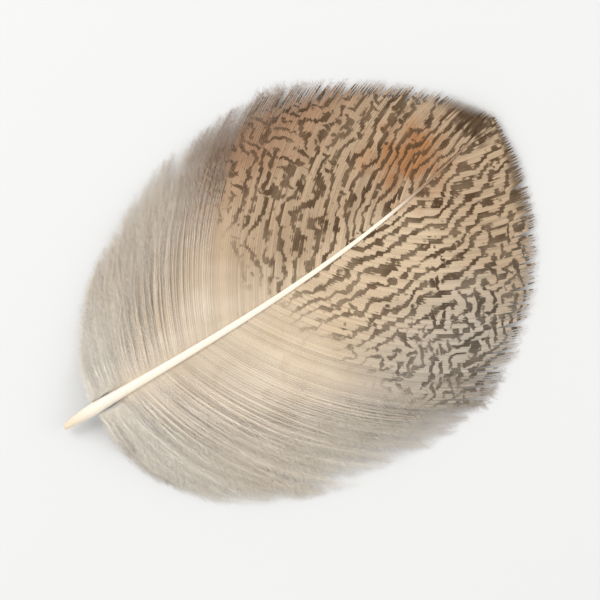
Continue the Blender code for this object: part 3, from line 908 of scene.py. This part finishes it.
def gap_between(points):
    """Each barb's distance to the farther of its two neighbours, square to the barb."""
    beside = np.diff(points, axis=0)
    ahead = of_length_one(np.gradient(points, axis=1))
    to_next, to_last = [np.linalg.norm(square_to(way, beside), axis=-1) for way in (ahead[:-1], ahead[1:])]
    return np.maximum(np.concatenate([to_next, to_next[-1:]]), np.concatenate([to_last[:1], to_last]))


# %% Grow the firm barbs of the vanes
VANE_POINTS = 26
OVERLAP = 1.35  # how wide the wings are, as a share of the gap between barbs
WINGS = {
    "Wing span": 0.40 * MM,
    "Wing thickness": 0.020 * MM,
    "Ridge height": 0.045 * MM,
    "Wing tilt": 0.012 * MM,
    "Material": plumage,
}


def wing_width(points, overlap, least, most):
    """How wide each barb's wings are at each point, as a share of the wing span."""
    return np.clip(overlap * gap_between(points) / WINGS["Wing span"], least, most)


free_from = 0.80 - 0.25 * near_down
for side_name in SIDES:
    share = np.linspace(0, 1, VANE_POINTS)[None, :]
    points, normal, facts = vane_paths(side_name, share)
    facts["width"] = wing_width(points, OVERLAP, 0.3, 1.6) * (1 - 0.88 * ramp(share, free_from) ** 1.7)
    grow(f"{side_name}_vane_barbs", wing_tree, "vane", points, facts, WINGS, normal)

# %% [markdown]
# ### Wisps along the rim
#
# At the rim a barb's last barbules reach no neighbour and stand free, as a thin veil around the vane. The
# down tree dresses just the last part of the vane's own paths. Beside the down it starts farther in, so
# that the vane ends in fluff there and not at a line.

# %% Loose barbules along the vanes' rims
DOWN = {
    "Barbule length": 1.35 * MM,
    "Barbule thickness": 0.025 * MM,
    "Barbule bends": 2,
    "Thread thickness": 0.05 * MM,
    "Roll": 0.35,
    "Ruffle": 0.55 * MM,
    "Lowest": 0.02 * MM,
    "Highest": cad_box[1].z,
    "Material": down_finish,
}
WISPS = {
    **DOWN,
    "Barbule length": 0.85 * MM,
    "Barbule thickness": 0.022 * MM,
    "Thread thickness": 0.045 * MM,
    "Roll": 0.5,
    "Ruffle": 0.20 * MM,
}
DENSE, USUAL, LOOSE, SPARSE = 0.11 * MM, 0.12 * MM, 0.18 * MM, 0.20 * MM  # spacing of the barbules


def grow_down(name, points, facts, seed, spacing, sizes=DOWN, slot="down", rows=slice(None)):
    sizes = {**sizes, "Barbule spacing": spacing, "Seed": seed}
    grow(name, down_tree, slot, points, facts, sizes, rows=rows)


wisp_start = 0.87 - 0.30 * near_down
for side_name in SIDES:
    share = wisp_start + (1.02 - wisp_start) * np.linspace(0, 1, 8)
    points, _, facts = vane_paths(side_name, share)
    facts["fluff"] = (0.40 + 0.80 * near_down) * smooth_step((share - wisp_start) / 0.08 + 0.2)
    grow_down(f"{side_name}_vane_wisps", points, facts, VANE_SEEDS[side_name], LOOSE, WISPS, "vane")

# %% [markdown]
# ## The down
#
# There is no border between vane and down. Going down the shaft, each barb stays firm for a shorter part
# of its way and is loose beyond it. So a downy barb is made twice over the same path: with the wing tree
# up to where it is firm, and with the down tree from there to its tip.
#
# Down is deep, so three layers of barbs lie over each other, all by one rule. The upper one makes the
# surface, a backing lies just under it, and a sparse lower layer hangs beneath and softens the underside.

# %% Paths of the downy barbs
LAYERS = {  # barbs a side, how far the layer lies below the canopy in mm, seed
    "upper": (124, 0.0, 41),
    "backing": (84, 0.32, 37),
    "lower": (44, 0.46, 40),
}
DOWN_END = 0.585  # the fan value of the last downy barb
FIRM_FROM = 0.24  # barbs of a lower fan value are loose from their roots on
DOWN_CLUMPS = 19
DOWN_GRIP = 0.8
DOWN_LOWEST = 0.12 * MM


def firm_share(fan):
    """How much of a barb is firm: a third where the firm roots begin, and most of it by the vane."""
    return 0.30 + 0.52 * smooth_step((fan - FIRM_FROM) / (DOWN_END - FIRM_FROM))


def firmness(fan):
    """0 where barbs are loose from the root on, 1 where their roots are fully firm."""
    return smooth_step((fan - FIRM_FROM) / 0.12)


def down_paths(side_name, layer, share_of):
    """Points and facts of one layer's barbs. share_of gives each barb's shares from its fan value."""
    side = SIDES[side_name]
    barbs, drop, seed = LAYERS[layer]
    rng = np.random.default_rng(seed + 2 * (side > 0))
    fan = np.linspace(0.03, DOWN_END, barbs)[:, None]
    fan = np.clip(fan + rng.normal(0, 0.0009, fan.shape) * (DOWN_END - fan) / DOWN_END, 0.02, DOWN_END)
    share = share_of(fan) + np.zeros_like(fan)
    calm = smooth_step((fan - 0.40) / 0.18)
    loose = 1 - calm
    bulge = BARB_BULGE * (1 + 0.08 * np.sin(23 * fan + side) * loose + rng.uniform(-0.03, 0.03, fan.shape))
    lobes = 0.034 * (1 + np.sin(37 * fan + 2 * side)) + 0.030 * (1 + np.sin(83 * fan))
    reach = 1.01 - (lobes * loose + np.abs(rng.normal(0, 0.11, fan.shape))) * (1 - 0.80 * calm)
    wander = swaying(fan, rng, share, 7) * share**2.5 * (1 - 0.8 * calm)
    wander += clinging(fan, rng, DOWN_CLUMPS, DOWN_GRIP) * loose * ramp(share, 0.35) ** 1.3
    chance, lift = rng.uniform(0, 1, fan.shape), rng.uniform(-0.25, 0.05 if drop else 0.55, fan.shape)
    x, y = barb_plan(np.clip(fan + wander, 0, 1), side, share * reach, bulge)
    sunk = drop * np.clip(0.4 + share / 0.15, 0, 1) + 0.15 * loose * smooth_step(share / 0.3)
    height = canopy_height(x, y) - MM * (sunk - lift * np.sin(np.pi * share) * loose)
    points = np.stack([x, y, np.maximum(height, DOWN_LOWEST)], axis=-1)
    return fan, share, points, {"along": share, "fan": fan, "chance": chance}


# %% [markdown]
# ### Firm roots
#
# Near the shaft even a downy barb is a stiff blade, which gives the silky zone beside the shaft. The wing
# tree makes it, and only the width is new: full at the shaft, and next to nothing where the barb is loose.

# %% Grow the firm roots of the downy barbs
ROOT_POINTS = 18
for side_name in SIDES:
    fan, share, points, facts = down_paths(
        side_name, "upper", lambda fan: np.linspace(0, 1, ROOT_POINTS) * firm_share(fan)
    )
    kept_width = 0.35 * smooth_step((fan - 0.5) / 0.08)
    narrowing = 1 - ramp(share / firm_share(fan), 0.15, 0.90) * (1 - kept_width)
    width = wing_width(points, OVERLAP, 0.3, 1.8)
    facts["width"] = width * (0.08 + 0.92 * narrowing) * (0.25 + 0.75 * firmness(fan))
    rows = fan[:, 0] >= FIRM_FROM
    normal = canopy_normal(points[rows, :, 0], points[rows, :, 1])
    grow(f"{side_name}_down_roots", wing_tree, "vane", points, facts, WINGS, normal, rows)

# %% [markdown]
# ### Backing
#
# Real down has so many barbules that nothing shows through it, and all of them would be millions of
# faces. Narrow wings just under the surface do the same work: they close the gaps with a pale ground.

# %% Flattened barbs that back the down
BACKING_POINTS = 13
for side_name in SIDES:
    fan, share, points, facts = down_paths(
        side_name, "backing", lambda fan: np.linspace(0.03, 0.86, BACKING_POINTS)
    )
    facts["width"] = wing_width(points, 1.25, 0.2, 1.8) * (1 - 0.9 * smooth_step((share - 0.50) / 0.36))
    normal = canopy_normal(points[..., 0], points[..., 1])
    sizes = {**WINGS, "Material": down_finish}
    grow(f"{side_name}_down_backing", wing_tree, "down", points, facts, sizes, normal)

# %% [markdown]
# ### Loose down
#
# From where a barb turns loose, long barbules stand on it, densely on the upper layer and sparsely on the
# lower one. The upper layer is kept as two pieces, one by the quill and one in the middle, because a mesh
# of a hundred thousand threads is slow to handle.

# %% Grow the loose down
DOWN_POINTS = 18
HALFWAY = 0.28  # the fan value that parts the upper layer into two pieces


def loose_from(fan):
    """The share of an upper barb at which long barbules begin."""
    return 0.02 + (0.42 * firm_share(fan) - 0.02) * firmness(fan)


def thinning(share, least, over=0.25):
    """1 along most of a barb, and down to the least value at its tip."""
    return np.clip(least + (1 - share) / over, 0, 1)


def onward_from(start):
    """Shares from the start to the barb's tip."""
    return start + (1 - start) * np.linspace(0, 1, DOWN_POINTS)


for side_name in SIDES:
    seed = 60 + 4 * (side_name == "left")
    fan, share, points, facts = down_paths(side_name, "upper", lambda fan: onward_from(loose_from(fan)))
    started = 0.45 + 0.55 * smooth_step((share - share[:, :1]) / 0.30)
    facts["fluff"] = np.clip(0.62 + fan, 0, 1) * started * thinning(share, 0.35)
    by_quill = fan[:, 0] < HALFWAY
    grow_down(f"{side_name}_down_quill", points, facts, seed, DENSE, rows=by_quill)
    grow_down(f"{side_name}_down_middle", points, facts, seed + 1, DENSE, rows=~by_quill)
    fan, share, points, facts = down_paths(side_name, "lower", lambda fan: onward_from(0.02))
    facts["fluff"] = np.clip(0.5 + fan, 0, 1) * thinning(share, 0.40)
    grow_down(f"{side_name}_down_lower", points, facts, seed + 2, SPARSE)

# %% [markdown]
# ### Short barbules over the roots
#
# Between firm and loose the barbules get longer little by little. A fuzz of short straight ones over the
# firm roots makes that change, and takes the hard shine off the silky zone.

# %% Short barbules over the firm roots
FUZZ_LIFT = 0.05 * MM
FUZZ = {
    **DOWN,
    "Barbule length": 0.95 * MM,
    "Barbule thickness": 0.023 * MM,
    "Barbule bends": 1,
    "Thread thickness": 0.03 * MM,
    "Ruffle": 0.12 * MM,
}
for side_name in SIDES:
    fan, share, points, facts = down_paths(
        side_name, "upper", lambda fan: np.linspace(0.03, 1, 12) * np.clip(firm_share(fan), 0, 0.9)
    )
    points[..., 2] += FUZZ_LIFT
    facts["fluff"] = (0.45 + 0.55 * smooth_step(share / 0.25)) * np.clip((DOWN_END - fan) / 0.15, 0, 1)
    seed = 90 + (side_name == "left")
    rows = fan[:, 0] >= FIRM_FROM
    grow_down(f"{side_name}_down_fuzz", points, facts, seed, USUAL, FUZZ, rows=rows)

# %% [markdown]
# ### Stray barbs
#
# On a feather that has been handled, some downy barbs have left their row and lie across the others. They
# could be laid by hand. Here they follow the rule of all barbs with more chance in it: each has a bend,
# a swing and a reach of its own, and lies a little above the rest.

# %% Stray barbs over the down
STRAYS = 16
STRAY_LIFT = 0.20 * MM


def stray_paths(side_name):
    """Loose barbs that lie over the others, each with a bend and a reach of its own."""
    side = SIDES[side_name]
    rng = np.random.default_rng(70 + side)
    fan = np.linspace(0.07, 0.47, STRAYS)[:, None] + rng.normal(0, 0.010, (STRAYS, 1))
    share = np.linspace(0.04, 1, 20)[None, :]
    wander = swaying(fan, rng, share, 6) * share
    wander += rng.normal(0, 0.030, fan.shape) * share**1.5
    bulge = BARB_BULGE * (1 + rng.normal(0, 0.28, fan.shape))
    reach = rng.uniform(0.70, 1.0, fan.shape)
    x, y = barb_plan(np.clip(fan + wander, 0.02, 1), side, share * reach, bulge)
    height = canopy_height(x, y) + STRAY_LIFT * np.sin(np.pi * share**0.6)
    facts = {"along": share, "fan": fan, "chance": rng.uniform(0.4, 1, fan.shape)}
    facts["fluff"] = 0.85 * thinning(share, 0.35)
    return np.stack([x, y, height], axis=-1), facts


for side_name, side in SIDES.items():
    grow_down(f"{side_name}_down_strays", *stray_paths(side_name), 96 + side, USUAL)

# %% [markdown]
# ## The afterfeather
#
# Many body feathers of game birds carry a second small feather, which grows from the underside where the
# quill becomes the rachis. It is all down on a thread of a shaft, and it hides under the main feather, so
# it shows only from below. It is made with the same down tree on its own, simpler guides.

# %% Guides of the afterfeather
AFTER_START = 0.105
AFTER_END = 0.54
AFTER_HALF_WIDTH = 7.8 * MM
AFTER_BARBS = 30
AFTER_LOWEST = 0.6 * MM
AFTER_DEPTH = 1.3 * MM  # how far its root lies below the shaft's middle
AFTER_TIPS = 0.34 * MM  # height of its barbs' tips


def after_point(along):
    """The afterfeather's shaft: under the main one, and down from its root to near the table."""
    share = AFTER_START + (AFTER_END - AFTER_START) * along
    high = float(shaft_height(AFTER_START)) - AFTER_DEPTH
    height = AFTER_LOWEST + (high - AFTER_LOWEST) * (1 - along) ** 2.2
    return np.stack([share * LENGTH + shift_x, bow_line(share) + shift_y, height], axis=-1)


after_rng = np.random.default_rng(77)
along_after = np.linspace(0.02, 1, AFTER_BARBS)[:, None]
share = np.linspace(0, 1, 12)[None, :]
root = after_point(0.82 * along_after[:, 0])[:, None, :]
rows_of_barbs = []
for side in SIDES.values():
    spread = AFTER_HALF_WIDTH * np.sin(np.pi * (0.14 + 0.70 * along_after))
    spread = spread * after_rng.uniform(0.85, 1.0, spread.shape)
    x = root[..., 0] + LENGTH * (0.05 + 0.10 * along_after) * share**1.4
    y = root[..., 1] + side * spread * share
    z = root[..., 2] + (AFTER_TIPS - root[..., 2]) * share**0.7
    rows_of_barbs.append(np.stack([x, y, z], axis=-1))
after_facts = {
    "along": share,
    "fan": 0.2,
    "chance": after_rng.uniform(0, 1, (2 * AFTER_BARBS, 1)),
    "fluff": 0.75 * thinning(share, 0.40, 0.3),
}
after_sizes = {**DOWN, "Highest": 1.9 * MM}
grow_down("afterfeather_down", np.concatenate(rows_of_barbs), after_facts, 78, LOOSE, after_sizes)

# %% Afterfeather's thread of a shaft
AFTER_RINGS = 30
AFTER_RADIUS = 0.16  # mm at its root
AFTER_TAPER = 0.11  # mm that it loses to its tip
after_rings = []
for along in np.linspace(0, 0.95, AFTER_RINGS):
    centre = Vector(after_point(along))
    radius = float(MM * (AFTER_RADIUS - AFTER_TAPER * along))
    after_rings.append([centre + radius * Vector((0, math.cos(t), math.sin(t))) for t in around[::2]])
joined_rings("afterfeather_shaft", after_rings)

# %% [markdown]
# ## Table, light and camera
#
# The photograph was taken from straight above, in soft light from all round with a little more from the
# upper left. A large lamp on that side, a weaker one opposite and a pale world give that. The camera
# looks straight down from far off through a long lens, and is rolled so that the feather points to the
# upper right, as it does in the photograph.

# %% Table
TABLE_HALF = 1.0  # metres
floor_mesh = bpy.data.meshes.new("table")
corners = [(a * TABLE_HALF, b * TABLE_HALF, 0) for a, b in ((-1, -1), (1, -1), (1, 1), (-1, 1))]
floor_mesh.from_pydata(corners, [], [(0, 1, 2, 3)])
floor = show("table", floor_mesh)
pale = {"Roughness": 0.8, "Base Color": linear(212, 212, 211)}
floor_mesh.materials.append(start_material("pale_table", pale)[0])
print(f"table {2 * TABLE_HALF} m wide")

# %% Light
studio = bpy.data.worlds.new("studio")
studio.use_nodes = True
fill(studio.node_tree.nodes["Background"], {"Color": (1, 1, 1, 1), "Strength": 0.89})
bpy.context.scene.world = studio
bpy.context.scene.view_settings.view_transform = "Standard"


def soft_lamp(name, where, power, size):
    lamp = bpy.data.lights.new(name, "AREA")
    lamp.energy = power
    lamp.size = size
    held = show(name, lamp)
    held.location = where
    held.rotation_euler = (-Vector(where)).to_track_quat("-Z", "Y").to_euler()
    print(f"{name}: {power} W, {size} m wide")


soft_lamp("window", (-0.10, 0.24, 0.34), 0.91, 0.24)
soft_lamp("fill", (0.28, -0.18, 0.28), 0.41, 0.30)

# %% Camera
FEATHER_TILT = math.radians(35.9)
CAMERA_HEIGHT = 0.42
SEEN_WIDTH = 59 * MM
camera_data = bpy.data.cameras.new("camera")
camera_data.sensor_width = 36
camera_data.lens = camera_data.sensor_width * CAMERA_HEIGHT / SEEN_WIDTH
camera = show("camera", camera_data)
camera.location = (0.0, 0.0, CAMERA_HEIGHT)
camera.rotation_euler = (0, 0, -FEATHER_TILT)
bpy.context.scene.camera = camera
print(f"camera: {camera_data.lens:.0f} mm lens, {CAMERA_HEIGHT} m up")
